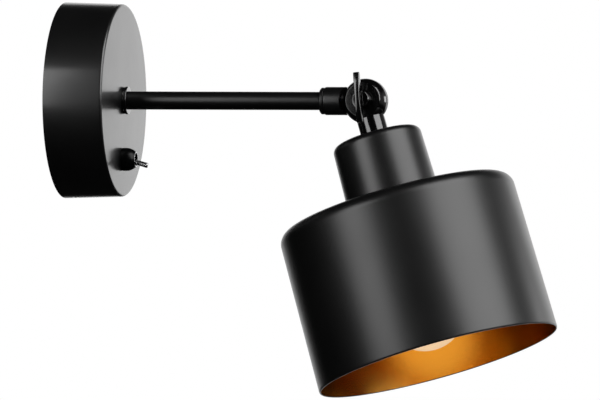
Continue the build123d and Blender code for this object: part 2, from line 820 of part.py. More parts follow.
# --- Centre contact: a sprung brass strip bowed towards the bulb's end contact ---------------------
contact_foot = contact_length / 2
contact_crown = contact_width / 2
with BuildPart() as centre_contact:
    with BuildSketch(head_section):
        with BuildLine():
            Polyline(
                (core_foot, -contact_foot),
                (core_foot + contact_thick, -contact_foot),
                (core_foot + contact_thick + contact_rise, -contact_crown),
                (core_foot + contact_thick + contact_rise, contact_crown),
                (core_foot + contact_thick, contact_foot),
                (core_foot, contact_foot),
                (core_foot + contact_rise, contact_crown),
                (core_foot + contact_rise, -contact_crown),
                close=True,
            )
        make_face()
    extrude(amount=contact_width / 2, both=True)
centre_contact.part.label = "centre_contact"
export_step(centre_contact.part, "parts/centre_contact.step")

# --- Lampholder screws: clamp the two leads on the core --------------------------------------------
holder_screw_places = [(holder_screw_across, 0), (-holder_screw_across, 0)]
screw_head_down = core_down - 2 * lead_radius - holder_screw_head_thick
with BuildPart() as lampholder_screws:
    with BuildSketch(down_the_head(screw_head_down)):
        with Locations(holder_screw_places):
            Circle(holder_screw_head_radius)
    extrude(amount=holder_screw_head_thick)
    with BuildSketch(down_the_head(screw_head_down)):
        with Locations(holder_screw_places):
            Circle(holder_screw_radius)
    extrude(amount=holder_screw_head_thick + 2 * lead_radius + core_thick)
lampholder_screws.part.label = "lampholder_screws"
export_step(lampholder_screws.part, "parts/lampholder_screws.step")

# --- Shade ring: screws up the lampholder's thread and clamps the shade ----------------------------
ring_down = shade_down + shade_wall
with BuildPart() as shade_ring:
    with BuildSketch(head_section):
        with BuildLine():
            Polyline(
                (ring_down, holder_radius + thread_play),
                (ring_down, ring_radius),
                (ring_down + ring_web, ring_radius),
                (ring_down + ring_thick, ring_radius - ring_web),
                (ring_down + ring_thick, holder_radius + thread_play),
                close=True,
            )
        make_face()
    revolve(axis=head_axis)
    with BuildSketch(down_the_head(ring_down)):
        with PolarLocations(ring_radius, ring_grips):
            Circle(ring_grip_radius)
    extrude(amount=ring_thick, mode=Mode.SUBTRACT)
shade_ring.part.label = "shade_ring"
export_step(shade_ring.part, "parts/shade_ring.step")

# --- Shade: a spun steel drum with a rounded top edge and a hole for the lampholder ----------------
shade_hole = holder_radius + 2 * hole_play
with BuildPart() as shade:
    with BuildSketch(head_section) as shade_profile:
        with BuildLine():
            Polyline(
                (shade_down, shade_hole),
                (shade_down, shade_top_radius),
                (rim_down, shade_rim_radius),
                (rim_down, shade_rim_radius - shade_wall),
                (shade_down + shade_wall, shade_top_radius - shade_wall),
                (shade_down + shade_wall, shade_hole),
                close=True,
            )
        make_face()
        outer_corner = shade_profile.vertices().sort_by_distance((shade_down, shade_top_radius))[0]
        fillet(outer_corner, radius=shade_corner)
        inner_corner = shade_profile.vertices().sort_by_distance(
            (shade_down + shade_wall, shade_top_radius - shade_wall)
        )[0]
        fillet(inner_corner, radius=shade_corner - shade_wall)
    revolve(axis=head_axis)
shade.part.label = "shade"
export_step(shade.part, "parts/shade.step")

# --- Bulb: blown glass, screw cap, insulator and end contact ---------------------------------------
with BuildPart() as bulb_glass:
    with BuildSketch(head_section):
        for wall in (0.0, bulb_glass_wall):
            with BuildLine():
                globe_radius = bulb_radius - wall
                neck_radius = bulb_neck_radius - wall
                neck_end = bulb_neck_down - bulb_neck_seat
                neck_reach = sqrt(globe_radius**2 - neck_radius**2)
                ThreePointArc(
                    (bulb_centre + globe_radius, 0),
                    (bulb_centre, globe_radius),
                    (bulb_centre - neck_reach, neck_radius),
                )
                Polyline(
                    (bulb_centre - neck_reach, neck_radius),
                    (neck_end, neck_radius),
                    (neck_end, 0),
                    (bulb_centre + globe_radius, 0),
                )
            make_face(mode=Mode.SUBTRACT if wall else Mode.ADD)
    revolve(axis=head_axis)
bulb_glass.part.label = "bulb_glass"
export_step(bulb_glass.part, "parts/bulb_glass.step")

bulb_cap = ring(
    down_the_head(bulb_cap_down), bulb_cap_radius, bulb_cap_radius - bulb_cap_wall, bulb_cap_length
)
bulb_cap.label = "bulb_cap"
export_step(bulb_cap, "parts/bulb_cap.step")

insulator_down = bulb_tip_down + bulb_tip_height
with BuildPart() as bulb_insulator:
    with BuildSketch(down_the_head(insulator_down)):
        Circle(bulb_insulator_radius)
    with BuildSketch(down_the_head(bulb_cap_down)):
        Circle(bulb_cap_radius)
    loft()
bulb_insulator.part.label = "bulb_insulator"
export_step(bulb_insulator.part, "parts/bulb_insulator.step")

with BuildPart() as bulb_tip:
    with BuildSketch(down_the_head(bulb_tip_down)):
        Circle(bulb_tip_radius - bulb_tip_height)
    with BuildSketch(down_the_head(insulator_down)):
        Circle(bulb_tip_radius)
    loft()
bulb_tip.part.label = "bulb_tip"
export_step(bulb_tip.part, "parts/bulb_tip.step")

# --- Leads inside the canopy and through the arm ---------------------------------------------------
lead_start = -block_drop - block_height / 2 + clamp_inset
lead_turn = lead_start - clamp_inset - lead_bend
tag_seat = tag_thick / 2 + lead_radius
upper_tag = tag_spacing / 2 - switch_drop + tag_seat
lower_tag = -tag_spacing / 2 - switch_drop - tag_seat
tag_reach = rest_gap - switch_back
beside_switch = switch_width / 2 + lead_radius + rest_gap
behind_tube = lead_bend - tube_inner_end
half_pair = lead_spacing / 2

supply_lead = lead(
    [
        (0, -block_middle, lead_start),
        (0, -block_middle, upper_tag),
        (0, tag_reach, upper_tag),
    ],
    tail_bend,
)
supply_lead.label = "supply_lead"
export_step(supply_lead, "parts/supply_lead.step")

switched_lead = lead(
    [
        (0, tag_reach, lower_tag),
        (0, -block_middle, lower_tag),
        (-beside_switch, -block_middle, lower_tag),
        (-beside_switch, behind_tube, lead_turn),
        (lead_side, behind_tube, -half_pair),
        (lead_side, -tube_outer_end, -half_pair),
    ],
    tail_bend,
)
switched_lead.label = "switched_lead"
export_step(switched_lead, "parts/switched_lead.step")

neutral_lead = lead(
    [
        (pole_pitch, -block_middle, lead_start),
        (pole_pitch, -block_middle, lead_turn),
        (pole_pitch, behind_tube, lead_turn),
        (pole_pitch, behind_tube, half_pair),
        (lead_side, behind_tube, half_pair),
        (lead_side, -tube_outer_end, half_pair),
    ],
    tail_bend,
)
neutral_lead.label = "neutral_lead"
export_step(neutral_lead, "parts/neutral_lead.step")

earth_lead_out = earth_washer_out + earth_washer_thick + lead_radius
earth_lead = lead(
    [
        (-pole_pitch, -block_middle, lead_start),
        (-pole_pitch, -block_middle, lead_turn),
        (earth_screw_across, -earth_lead_out, lead_turn - lead_bend),
        (earth_screw_across, -earth_lead_out, earth_screw_radius + turn_gap - earth_screw_drop),
    ],
    tail_bend,
)
earth_lead.label = "earth_lead"
export_step(earth_lead, "parts/earth_lead.step")

# --- Leads through the knuckle: one pair in the arm half, one pair from the neck to the lampholder -
lead_pair = [(lead_side, half_pair), (lead_side, -half_pair)]
with BuildPart() as knuckle_leads:
    with BuildSketch(out_from_wall(tube_outer_end + rest_gap)):
        with Locations(lead_pair):
            Circle(lead_radius)
    extrude(amount=stub_length - tube_seat - rest_gap - boss_radius - lead_radius)
knuckle_leads.part.label = "knuckle_leads"
export_step(knuckle_leads.part, "parts/knuckle_leads.step")

neck_lead_start = boss_radius + lead_radius
fan_start = nipple_down + nipple_length + lead_bend
screw_lead_down = core_down - lead_radius
with BuildPart() as head_leads:
    for side in (1, -1):
        with BuildLine() as route:
            FilletPolyline(
                along_head(neck_lead_start, -lead_side, side * half_pair),
                along_head(fan_start, -lead_side, side * half_pair),
                along_head((fan_start + screw_lead_down) / 2, side * lead_spacing, side * half_pair),
                along_head(screw_lead_down, side * lead_spacing, side * half_pair),
                along_head(
                    screw_lead_down,
                    side * (holder_screw_across - holder_screw_radius - turn_gap),
                    side * half_pair,
                ),
                radius=tail_bend,
            )
        with BuildSketch(Plane(origin=route.line @ 0, z_dir=route.line % 0)):
            Circle(lead_radius)
        sweep(path=route.line)
head_leads.part.label = "head_leads"
export_step(head_leads.part, "parts/head_leads.step")
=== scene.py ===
import json
from math import asin, ceil, cos, degrees, pi, radians, sin, sqrt, tan

import bmesh
import bpy
from mathutils import Matrix, Vector

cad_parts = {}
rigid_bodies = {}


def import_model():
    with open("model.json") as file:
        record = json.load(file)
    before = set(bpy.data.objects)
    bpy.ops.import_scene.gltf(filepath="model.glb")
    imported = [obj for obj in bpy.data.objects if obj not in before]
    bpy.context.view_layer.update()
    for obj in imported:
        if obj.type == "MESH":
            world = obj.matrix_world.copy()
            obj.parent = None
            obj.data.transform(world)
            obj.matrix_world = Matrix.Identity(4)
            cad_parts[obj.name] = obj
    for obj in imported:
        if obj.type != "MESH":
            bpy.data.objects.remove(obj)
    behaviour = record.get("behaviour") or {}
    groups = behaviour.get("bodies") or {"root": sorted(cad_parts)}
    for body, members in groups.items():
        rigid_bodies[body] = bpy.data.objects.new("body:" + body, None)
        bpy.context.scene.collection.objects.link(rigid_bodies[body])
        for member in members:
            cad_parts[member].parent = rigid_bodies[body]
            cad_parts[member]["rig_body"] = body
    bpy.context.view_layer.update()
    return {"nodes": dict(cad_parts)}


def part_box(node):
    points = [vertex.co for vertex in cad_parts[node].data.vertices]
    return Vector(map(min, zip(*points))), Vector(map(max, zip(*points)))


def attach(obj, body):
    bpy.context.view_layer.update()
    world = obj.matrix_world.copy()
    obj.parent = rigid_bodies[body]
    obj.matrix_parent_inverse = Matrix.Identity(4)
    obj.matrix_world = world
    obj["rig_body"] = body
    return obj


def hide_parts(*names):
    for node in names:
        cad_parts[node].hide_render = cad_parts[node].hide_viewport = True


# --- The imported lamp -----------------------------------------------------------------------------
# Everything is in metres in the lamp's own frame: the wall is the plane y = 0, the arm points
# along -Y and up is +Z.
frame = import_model()
nodes = frame["nodes"]
mm = 0.001

# --- Camera --------------------------------------------------------------------------------------
# A long lens on the lamp's near side, a little towards the room and a little below the arm,
# looking up at the lamp. It is rolled slightly.
camera_distance = 7.0
camera_aim = Vector((0, -133.76 * mm, -54.62 * mm))
camera_yaw = radians(-13.007)  # from square to the arm, towards the room
camera_pitch = radians(5.530)
camera_roll = radians(1.545)
picture_width = 600
focal_pixels = 12766.4
sensor_width = 36.0
forward = Vector(
    (cos(camera_yaw) * cos(camera_pitch), -sin(camera_yaw) * cos(camera_pitch), sin(camera_pitch))
)
level = Vector((-sin(camera_yaw), -cos(camera_yaw), 0))
upright = level.cross(forward)
picture_right = level * cos(camera_roll) + upright * sin(camera_roll)
picture_up = upright * cos(camera_roll) - level * sin(camera_roll)
camera_data = bpy.data.cameras.new("camera")
camera_data.sensor_width = sensor_width
camera_data.lens = focal_pixels * sensor_width / picture_width
camera = bpy.data.objects.new("camera", camera_data)
bpy.context.scene.collection.objects.link(camera)
camera_turn = Matrix((picture_right, picture_up, -forward)).transposed()
camera.matrix_world = (
    Matrix.Translation(camera_aim - forward * camera_distance) @ camera_turn.to_4x4()
)
bpy.context.scene.camera = camera
bpy.context.scene.view_settings.view_transform = "Standard"

# --- Studio --------------------------------------------------------------------------------------
# A white sweep behind the lamp, dark flags above it and on the camera's side, two soft boxes and a
# small rim lamp. A bearing is in degrees round the lamp: 0 is straight out from the wall, 90 is
# +X.


def put(tree, kind, fixed=None, fed=None, **settings):
    """A new node: settings on it, fixed values on its inputs, and links into the fed ones."""
    node = tree.nodes.new(kind)
    for name, value in settings.items():
        setattr(node, name, value)
    for name, value in (fixed or {}).items():
        node.inputs[name].default_value = value
    for name, socket in (fed or {}).items():
        tree.links.new(socket, node.inputs[name])
    return node


def worked_out(tree, operation, first, second):
    """One Math node on two sockets."""
    return put(tree, "ShaderNodeMath", fed={0: first, 1: second}, operation=operation).outputs[0]


def stretched(tree, value, start, end, low=0.0, high=1.0, kind="LINEAR"):
    """A value's run from start to end, laid out from low to high and held beyond them."""
    limits = {"From Min": start, "From Max": end, "To Min": low, "To Max": high}
    node = put(tree, "ShaderNodeMapRange", limits, {"Value": value}, interpolation_type=kind)
    return node.outputs["Result"]


def toward(bearing, height):
    """The direction at a bearing and a height angle."""
    turn, rise = radians(bearing), radians(height)
    return Vector((sin(turn) * cos(rise), -cos(turn) * cos(rise), sin(rise)))


def soft_box(name, bearing, height, across, tall, radiance, distance=1.6):
    """An area lamp that fills an angle across by an angle tall, as seen from the lamp."""
    light = bpy.data.lights.new(name, "AREA")
    light.shape = "RECTANGLE"
    light.size = 2 * distance * tan(radians(across / 2))
    light.size_y = 2 * distance * tan(radians(tall / 2))
    light.energy = radiance * pi * light.size * light.size_y
    stand = bpy.data.objects.new(name, light)
    bpy.context.scene.collection.objects.link(stand)
    direction = toward(bearing, height)
    stand.location = camera_aim + direction * distance
    stand.rotation_euler = direction.to_track_quat("Z", "Y").to_euler()
    stand.visible_camera = False


soft_box("left_box", -122.5, 10.5, 30, 42, 2.6)
soft_box("right_box", -25, 33, 50, 58, 2.9)
soft_box("rim_lamp", 40, 11, 16, 14, 2.4)

sweep_bearing = 92
sweep_edge = (0.74, 0.90)  # the cosines from its bearing where it starts and is full
side_bearing = 35
side_edge = (0.76, 0.88)
side_grey = 0.12
top_edge = (0.35, 0.60)  # the sines of the heights where it starts and is full
foot_edge = (-0.25, -0.02)
dark_flag = 0.005
soft_fill = 0.30
screens = ((sweep_bearing, sweep_edge, 1.0), (side_bearing, side_edge, side_grey))


def sweep_mask(tree, direction):
    """White where a direction looks at the sweep, dark where it looks at the flags."""
    bright = []
    for bearing, edge, grey in screens:
        ahead = put(
            tree, "ShaderNodeVectorMath", {1: toward(bearing, 0)}, {0: direction},
            operation="DOT_PRODUCT",
        )
        bright.append(stretched(tree, ahead.outputs["Value"], *edge, high=grey, kind="SMOOTHSTEP"))
    behind = worked_out(tree, "MAXIMUM", *bright)
    height = put(tree, "ShaderNodeSeparateXYZ", fed={"Vector": direction}).outputs["Z"]
    under_top = stretched(tree, height, *top_edge, low=1.0, high=0.0, kind="SMOOTHSTEP")
    over_foot = stretched(tree, height, *foot_edge, kind="SMOOTHSTEP")
    between = worked_out(tree, "MULTIPLY", under_top, over_foot)
    return stretched(tree, worked_out(tree, "MULTIPLY", behind, between), 0, 1, low=dark_flag)


def mirrored_rays(tree):
    """The Light Path node, and one where a ray comes by a mirror or through glass."""
    path = put(tree, "ShaderNodeLightPath")
    by_glass = path.outputs["Is Transmission Ray"]
    return path, worked_out(tree, "MAXIMUM", path.outputs["Is Glossy Ray"], by_glass)


white = (1, 1, 1, 1)
world = bpy.data.worlds.new("studio")
world.use_nodes = True
bpy.context.scene.world = world
sky = world.node_tree
sky_path, sky_mirrored = mirrored_rays(sky)
sky_seen = sweep_mask(sky, put(sky, "ShaderNodeTexCoord").outputs["Generated"])
unseen = put(sky, "ShaderNodeMix", {2: soft_fill}, {0: sky_mirrored, 3: sky_seen})
sky_strength = put(
    sky, "ShaderNodeMix", {3: 1.0}, {0: sky_path.outputs["Is Camera Ray"], 2: unseen.outputs[0]}
)
sky.nodes["Background"].inputs["Color"].default_value = white
sky.links.new(sky_strength.outputs[0], sky.nodes["Background"].inputs["Strength"])

floor_radius = 9.0
floor_down = 1.1
floor_glow = 0.8
floor_grey = (0.55, 0.55, 0.55, 1)
floor_roughness = 0.9
floor_sides = 96
floor_mesh = bmesh.new()
bmesh.ops.create_circle(floor_mesh, cap_ends=True, radius=floor_radius, segments=floor_sides)
floor_data = bpy.data.meshes.new("floor")
floor_mesh.to_mesh(floor_data)
floor_mesh.free()
floor = bpy.data.objects.new("floor", floor_data)
floor.location.z = -floor_down
bpy.context.scene.collection.objects.link(floor)
floor_paint = bpy.data.materials.new("pale_floor")
floor_paint.use_nodes = True
ground = floor_paint.node_tree
ground_path, ground_mirrored = mirrored_rays(ground)
ground_place = put(
    ground, "ShaderNodeVectorMath", {1: (0, 0, -floor_down)},
    {0: put(ground, "ShaderNodeTexCoord").outputs["Object"]}, operation="ADD",
)
ground_way = put(
    ground, "ShaderNodeVectorMath", fed={0: ground_place.outputs["Vector"]}, operation="NORMALIZE"
)
ground_sweep = sweep_mask(ground, ground_way.outputs["Vector"])
ground_shader = ground.nodes["Principled BSDF"]
ground_shader.inputs["Base Color"].default_value = floor_grey
ground_shader.inputs["Roughness"].default_value = floor_roughness
ground_shader.inputs["Emission Color"].default_value = white
ground_glow = stretched(ground, ground_path.outputs["Is Camera Ray"], 0, 1, high=floor_glow)
ground.links.new(ground_glow, ground_shader.inputs["Emission Strength"])
ground_in_mirrors = put(
    ground, "ShaderNodeMixShader",
    fed={
        0: ground_mirrored,
        1: ground_shader.outputs["BSDF"],
        2: put(ground, "ShaderNodeEmission", fed={"Strength": ground_sweep}).outputs["Emission"],
    },
)
ground_mix = put(
    ground, "ShaderNodeMixShader",
    fed={
        0: put(ground, "ShaderNodeNewGeometry").outputs["Backfacing"],
        1: ground_in_mirrors.outputs[0],
        2: put(ground, "ShaderNodeBsdfTransparent").outputs["BSDF"],
    },
)
ground.links.new(ground_mix.outputs[0], ground.nodes["Material Output"].inputs["Surface"])
floor_data.materials.append(floor_paint)

# --- Mounting strap and its earth screw ----------------------------------------------------------
# A bent strip of zinc-plated steel that screws to the wall behind the drum, with an earth screw
# and washer near its foot. The plating is dull and patchy, and a little rubbed along the edges.


def group(name, inputs, outputs):
    """An empty node group with its number inputs and its outputs, and its two end nodes."""
    tree = bpy.data.node_groups.new(name, "ShaderNodeTree")
    for label, value in inputs.items():
        socket = tree.interface.new_socket(label, in_out="INPUT", socket_type="NodeSocketFloat")
        socket.default_value = value
    for label, kind in outputs.items():
        tree.interface.new_socket(label, in_out="OUTPUT", socket_type=kind)
    return tree, tree.nodes.new("NodeGroupInput"), tree.nodes.new("NodeGroupOutput")


noise_span = (0.3, 0.7)  # the part of the noise that is laid out from 0 to 1
edge_span = (1.0, 0.9)  # the cosines where an edge starts and is full
grain, grain_in, grain_out = group(
    "grain",
    {"Grain size": 0.5 * mm, "Patch size": 20 * mm},
    {"Grain": "NodeSocketFloat", "Patch": "NodeSocketFloat"},
)
grain_place = put(grain, "ShaderNodeTexCoord").outputs["Object"]
for layer in ("Grain", "Patch"):
    per_metre = put(
        grain, "ShaderNodeMath", {0: 1.0}, {1: grain_in.outputs[layer + " size"]},
        operation="DIVIDE",
    )
    layer_noise = put(
        grain, "ShaderNodeTexNoise", {"Detail": 3.0},
        {"Vector": grain_place, "Scale": per_metre.outputs[0]},
    )
    grain.links.new(
        stretched(grain, layer_noise.outputs["Fac"], *noise_span), grain_out.inputs[layer]
    )

soft_edges, soft_edges_in, soft_edges_out = group(
    "soft_edges", {"Width": 0.3 * mm}, {"Normal": "NodeSocketVector", "Edge": "NodeSocketFloat"}
)
edge_round = put(
    soft_edges, "ShaderNodeBevel", fed={"Radius": soft_edges_in.outputs["Width"]}, samples=6
).outputs["Normal"]
edge_match = put(
    soft_edges, "ShaderNodeVectorMath",
    fed={0: edge_round, 1: put(soft_edges, "ShaderNodeNewGeometry").outputs["Normal"]},
    operation="DOT_PRODUCT",
)
edge_mask = stretched(soft_edges, edge_match.outputs["Value"], *edge_span)
soft_edges.links.new(edge_round, soft_edges_out.inputs["Normal"])
soft_edges.links.new(edge_mask, soft_edges_out.inputs["Edge"])


def surface_finish(name, colours, roughness, grain_size, patch_size, depth, edge=None, **plain):
    """A surface finish. Its colours and its roughness are pairs that the patches run between, and
    its grain is that deep. The edge is a width, a colour and a roughness for the edges, and plain
    values go on the shader."""
    made = bpy.data.materials.new(name)
    made.use_nodes = True
    tree = made.node_tree
    shader = tree.nodes["Principled BSDF"]
    sizes = {"Grain size": grain_size, "Patch size": patch_size}
    surface = put(tree, "ShaderNodeGroup", sizes, node_tree=grain)
    patch = surface.outputs["Patch"]
    low, high = ((*colour, 1) for colour in colours)
    colour = put(tree, "ShaderNodeMix", {6: low, 7: high}, {0: patch}, data_type="RGBA").outputs[2]
    gloss = stretched(tree, patch, 0, 1, *roughness)
    bump = put(
        tree, "ShaderNodeBump", {"Distance": depth}, {"Height": surface.outputs["Grain"]}
    )
    if edge:
        edge_width, edge_colour, edge_roughness = edge
        rim = put(tree, "ShaderNodeGroup", {"Width": edge_width}, node_tree=soft_edges)
        tree.links.new(rim.outputs["Normal"], bump.inputs["Normal"])
        worn = worked_out(tree, "MULTIPLY", rim.outputs["Edge"], patch)
        worn_colour = {7: (*edge_colour, 1)}
        colour = put(
            tree, "ShaderNodeMix", worn_colour, {0: worn, 6: colour}, data_type="RGBA"
        ).outputs[2]
        gloss = put(tree, "ShaderNodeMix", {3: edge_roughness}, {0: worn, 2: gloss}).outputs[0]
    tree.links.new(colour, shader.inputs["Base Color"])
    tree.links.new(gloss, shader.inputs["Roughness"])
    tree.links.new(bump.outputs["Normal"], shader.inputs["Normal"])
    for socket, value in plain.items():
        shader.inputs[socket.replace("_", " ")].default_value = value
    return made


def dress(surface, *names):
    """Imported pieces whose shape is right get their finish."""
    for name in names:
        nodes[name].material_slots[0].material = surface


zinc_steel = surface_finish(
    "zinc_steel", [(0.50, 0.51, 0.50), (0.62, 0.62, 0.60)], (0.32, 0.48), 0.25 * mm, 6 * mm,
    0.01 * mm, edge=(0.15 * mm, (0.72, 0.71, 0.68), 0.25), Metallic=1.0,
)
dress(zinc_steel, "mounting_strap", "earth_screw", "earth_washer")

# --- Terminal block ------------------------------------------------------------------------------
# A white moulded block on the strap, with three brass clamps inside it and a steel screw at each
# end of each clamp.
white_plastic = surface_finish(
    "white_plastic", [(0.70, 0.69, 0.66), (0.76, 0.75, 0.72)], (0.38, 0.48), 0.4 * mm, 8 * mm,
    0.01 * mm, edge=(0.3 * mm, (0.80, 0.79, 0.76), 0.35), Subsurface_Weight=0.1,
)
brass = surface_finish(
    "brass", [(0.62, 0.42, 0.16), (0.72, 0.52, 0.22)], (0.24, 0.40), 0.2 * mm, 5 * mm,
    0.006 * mm, edge=(0.12 * mm, (0.80, 0.62, 0.30), 0.2), Metallic=1.0,
)
dress(white_plastic, "terminal_block")
dress(brass, "terminal_clamps")
dress(zinc_steel, "terminal_screws")

# --- Canopy --------------------------------------------------------------------------------------
# A drum drawn from 1 mm steel and powder-coated satin black, with a small round at its face edge.
# It hides the strap and the wiring, and two grub screws through its rim hold it on the strap's
# tabs.
canopy_low, canopy_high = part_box("canopy")
canopy_radius = canopy_high.x
canopy_depth = -canopy_low.y
canopy_draft = 1.0 * mm
canopy_wall = 1.0 * mm
canopy_round = 1.6 * mm
wall_lip = 0.3 * mm
hole_play = 0.3 * mm
tube_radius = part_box("arm_tube")[1].x
bushing_low, bushing_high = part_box("switch_bushing")
switch_up = (bushing_low.z + bushing_high.z) / 2
bushing_radius = bushing_high.x
wall_way = Vector((0, -1, 0))
arc_step = 7  # degrees
sharp_from = radians(32)


def rounded(corners):
    """The outline through corners (along, out, radius), each corner turned on its own radius."""
    outline = []
    for place, (along, out, radius) in enumerate(corners):
        corner = Vector((along, out))
        if radius == 0:
            outline.append(corner)
            continue
        back = (Vector(corners[place - 1][:2]) - corner).normalized()
        ahead = (Vector(corners[(place + 1) % len(corners)][:2]) - corner).normalized()
        half = back.angle(ahead) / 2
        centre = corner + (back + ahead).normalized() * radius / sin(half)
        spoke = corner + back * radius / tan(half) - centre
        sweep = pi - 2 * half
        side = 1 if back.x * ahead.y < back.y * ahead.x else -1
        steps = max(3, ceil(degrees(sweep) / arc_step))
        for step in range(steps + 1):
            spoke_turn = Matrix.Rotation(side * sweep * step / steps, 2)
            outline.append(centre + spoke_turn @ spoke)
    return outline


def smoothed(data):
    """A mesh made smooth, and sharp only at its real edges."""
    data.shade_smooth()
    data.set_sharp_from_angle(angle=sharp_from)
    return data


def shown(name, mesh, surface):
    """A bmesh as an object with its finish."""
    bmesh.ops.recalc_face_normals(mesh, faces=mesh.faces)
    data = bpy.data.meshes.new(name)
    mesh.to_mesh(data)
    mesh.free()
    smoothed(data).materials.append(surface)
    piece = bpy.data.objects.new(name, data)
    bpy.context.scene.collection.objects.link(piece)
    return piece


def turned(name, outline, foot, axis, surface, sides=192):
    """A piece turned on a lathe. Its outline runs round the section in points (along, out) from
    the foot: along the axis, and out from it."""
    across = axis.orthogonal().normalized()
    beyond = axis.cross(across)
    turns = [2 * pi * k / sides for k in range(sides)]
    spokes = [across * cos(turn) + beyond * sin(turn) for turn in turns]
    mesh = bmesh.new()
    rings = []
    for along, out in outline:
        centre = foot + axis * along
        if out == 0:
            rings.append([mesh.verts.new(centre)] * sides)
        else:
            rings.append([mesh.verts.new(centre + spoke * out) for spoke in spokes])
    for place, ring in enumerate(rings):
        before = rings[place - 1]
        for k in range(sides):
            after = (k + 1) % sides
            corners = list(dict.fromkeys((before[k], before[after], ring[after], ring[k])))
            if len(corners) > 2:
                mesh.faces.new(corners)
    return shown(name, mesh, surface)


def machined(piece, operation, *tools):
    """A piece after other pieces are joined to it or cut from it. The tools are used up."""
    for tool in tools:
        step = piece.modifiers.new("machined", "BOOLEAN")
        step.operation = operation
        step.object = tool
        step.solver = "EXACT"
    seen = piece.evaluated_get(bpy.context.evaluated_depsgraph_get())
    data = bpy.data.meshes.new_from_object(seen)
    data.name = piece.name
    piece.modifiers.clear()
    piece.data = smoothed(data)
    for tool in tools:
        bpy.data.objects.remove(tool)
    return piece


def rod(foot, axis, start, end, radius, surface, sides=96):
    """A plain round bar along an axis, for joining or for cutting a hole."""
    outline = [(start, 0), (start, radius), (end, radius), (end, 0)]
    return turned("rod", outline, foot, axis, surface, sides)


def stands_for(piece, name):
    """A new piece takes the place and the body of a packed one, which is hidden."""
    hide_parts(name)
    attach(piece, nodes[name]["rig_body"])
    return piece


paint_black = [(0.0007, 0.0007, 0.0008), (0.0012, 0.0012, 0.0013)]
satin_black = surface_finish(
    "satin_black", paint_black, (0.33, 0.38), 0.45 * mm, 30 * mm, 0.006 * mm,
    Coat_Weight=0.8, Coat_Roughness=0.33,
)
satin_canopy = surface_finish(
    "satin_canopy", paint_black, (0.38, 0.43), 0.45 * mm, 30 * mm, 0.004 * mm,
    Coat_Weight=1.0, Coat_Roughness=0.18, IOR=1.55, Coat_IOR=1.6,
)
wall_foot = Vector((0, 0, 0))
face_radius = canopy_radius - canopy_draft
canopy_inner = canopy_depth - canopy_wall
canopy = turned(
    "canopy_drum",
    rounded(
        [
            (0, canopy_radius - canopy_wall, wall_lip),
            (0, canopy_radius, wall_lip),
            (canopy_depth, face_radius, canopy_round),
            (canopy_depth, tube_radius + hole_play, 0),
            (canopy_inner, tube_radius + hole_play, 0),
            (canopy_inner, face_radius - canopy_wall, canopy_round - canopy_wall / 2),
        ]
    ),
    wall_foot, wall_way, satin_canopy, sides=256,
)
canopy_screw_low, canopy_screw_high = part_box("canopy_screws")
screw_out = (canopy_screw_low.y + canopy_screw_high.y) / 2
screw_hole = canopy_screw_high.x + hole_play
machined(
    canopy, "DIFFERENCE",
    rod(
        Vector((0, 0, switch_up)), wall_way, canopy_inner - canopy_wall,
        canopy_depth + canopy_wall, bushing_radius + hole_play, satin_canopy,
    ),
    rod(
        Vector((0, screw_out, 0)), Vector((0, 0, 1)), -2 * canopy_radius, 2 * canopy_radius,
        screw_hole, satin_canopy,
    ),
)
stands_for(canopy, "canopy")
lacquer_black = [(0.0006, 0.0006, 0.0007), (0.0010, 0.0010, 0.0011)]
gloss_black = surface_finish(
    "gloss_black", lacquer_black, (0.12, 0.16), 0.5 * mm, 10 * mm, 0.002 * mm,
    edge=(0.25 * mm, (0.002, 0.002, 0.002), 0.15),
    Coat_Weight=1.0, Coat_Roughness=0.10, IOR=1.6, Coat_IOR=1.6,
)
dress(gloss_black, "canopy_screws")

# --- Toggle switch -------------------------------------------------------------------------------
# A black moulded body with brass tags behind the face, on a chrome bushing held by a steel nut
# inside and by a black dome nut outside. The dome's mouth is rubbed bright round its edge, and the
# chrome lever tips in it on a ball.
black_plastic = surface_finish(
    "black_plastic", [(0.012, 0.012, 0.012), (0.020, 0.020, 0.020)], (0.30, 0.42), 0.3 * mm,
    9 * mm, 0.008 * mm, edge=(0.25 * mm, (0.030, 0.030, 0.030), 0.3),
)
chrome = surface_finish(
    "chrome", [(0.80, 0.80, 0.81), (0.86, 0.86, 0.87)], (0.05, 0.10), 0.3 * mm, 3 * mm, 0.002 * mm,
    edge=(0.08 * mm, (0.88, 0.88, 0.88), 0.05), Metallic=1.0,
)
dress(black_plastic, "switch_body")
dress(chrome, "switch_bushing")
dress(zinc_steel, "switch_lock_nut")
dress(brass, "switch_tags")


def recoated(piece, surface, covered):
    """A piece with another finish on the faces that covered picks."""
    piece.data.materials.append(surface)
    for face in piece.data.polygons:
        if covered(face):
            face.material_index = len(piece.data.materials) - 1
    return piece


dome_black = surface_finish(
    "dome_black", paint_black, (0.26, 0.31), 0.45 * mm, 8 * mm, 0.004 * mm, IOR=1.33
)
dome_radius = 6.35 * mm
dome_height = 7.7 * mm
dome_straight = 2.2 * mm
dome_mouth = 3.6 * mm
dome_lip = 0.45 * mm
dome_thread = 5.3 * mm
dome_rubbed = 0.05 * mm  # how far down its mouth's edge is rubbed bare
dome_foot_edge = 0.6 * mm
dome_mouth_edge = 0.15 * mm
dome_arc_points = 14
dome_rise = dome_height - dome_straight
dome_fall = dome_radius - dome_mouth - dome_lip
dome_arc = (dome_rise**2 + dome_fall**2) / (2 * dome_fall)
dome_shoulder = []
for k in range(1, dome_arc_points):
    along = dome_rise * k / dome_arc_points
    dome_shoulder.append(
        (dome_straight + along, dome_radius - dome_arc + sqrt(dome_arc**2 - along**2), 0)
    )
switch_foot = Vector((0, -canopy_depth, switch_up))
